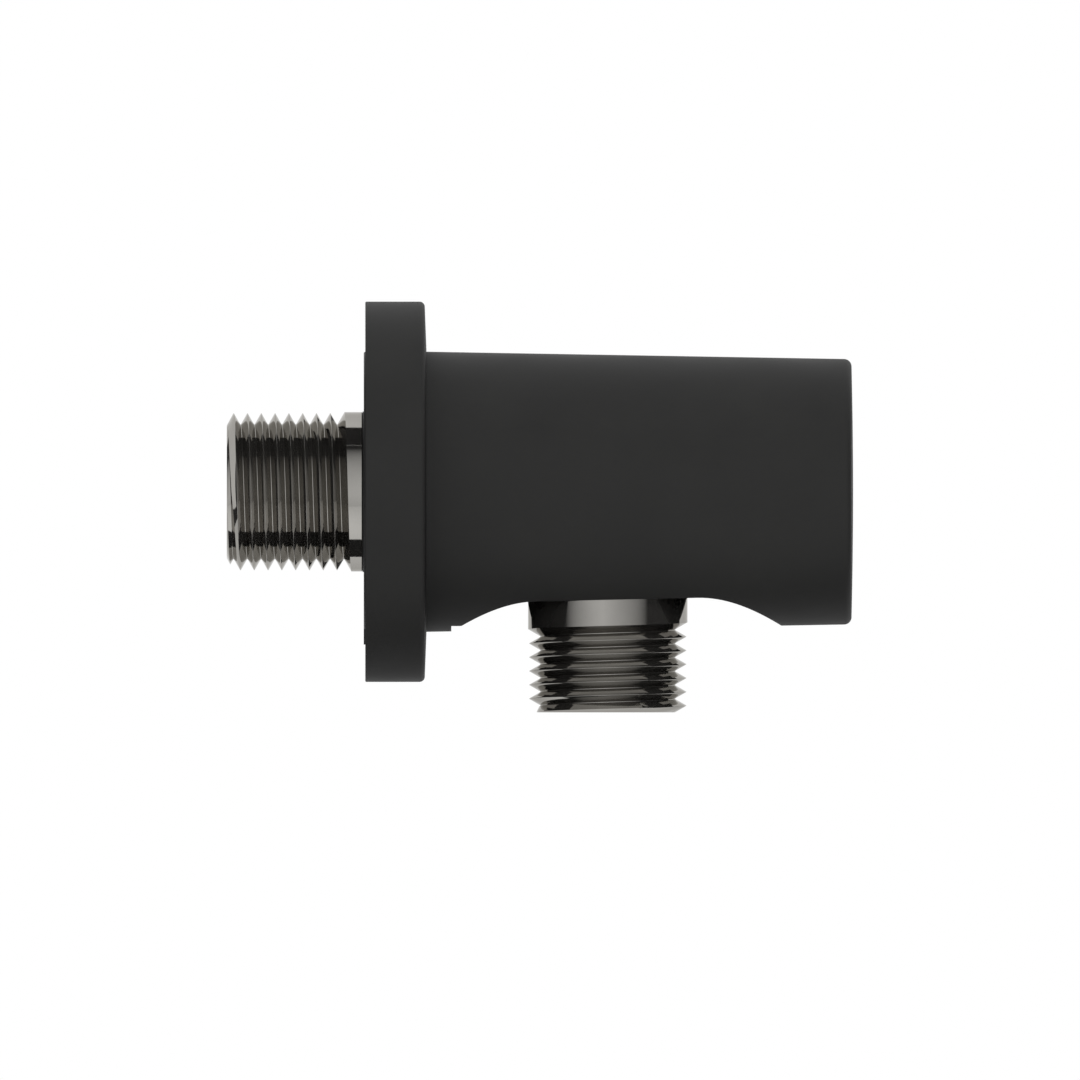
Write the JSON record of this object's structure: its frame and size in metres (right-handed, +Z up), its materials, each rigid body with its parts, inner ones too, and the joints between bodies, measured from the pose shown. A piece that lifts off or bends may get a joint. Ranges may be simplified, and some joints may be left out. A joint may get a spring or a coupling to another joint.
{
  "type": "wall outlet elbow",
  "caption": "Wall outlet elbow for a shower hose: round wall flange, tapered black cover with a long slot below, male inlet thread behind and male outlet thread pointing down.",
  "frame": {"origin": "on the axis of the inlet nipple, in the plane of the finished wall, which is the rear face of the rear plate", "axes": "+X out of the wall into the room along the inlet axis, +Z up, so the hose outlet points along -Z; +Y completes the right-handed frame"},
  "size_m": [0.0823, 0.05, 0.054],
  "materials": {
    "plated_brass": "polished",
    "seal_rubber": "matte",
    "black_moulding": "matte",
    "black_coating": "matte"
  },
  "bodies": {
    "root": {"inlet_nipple": "plated_brass", "nipple_washer": "seal_rubber", "elbow_core": "plated_brass", "rear_plate": "black_moulding", "cover_sleeve": "black_coating", "rosette": "black_coating", "rosette_grip_ring": "seal_rubber"}
  },
  "joints": []
}
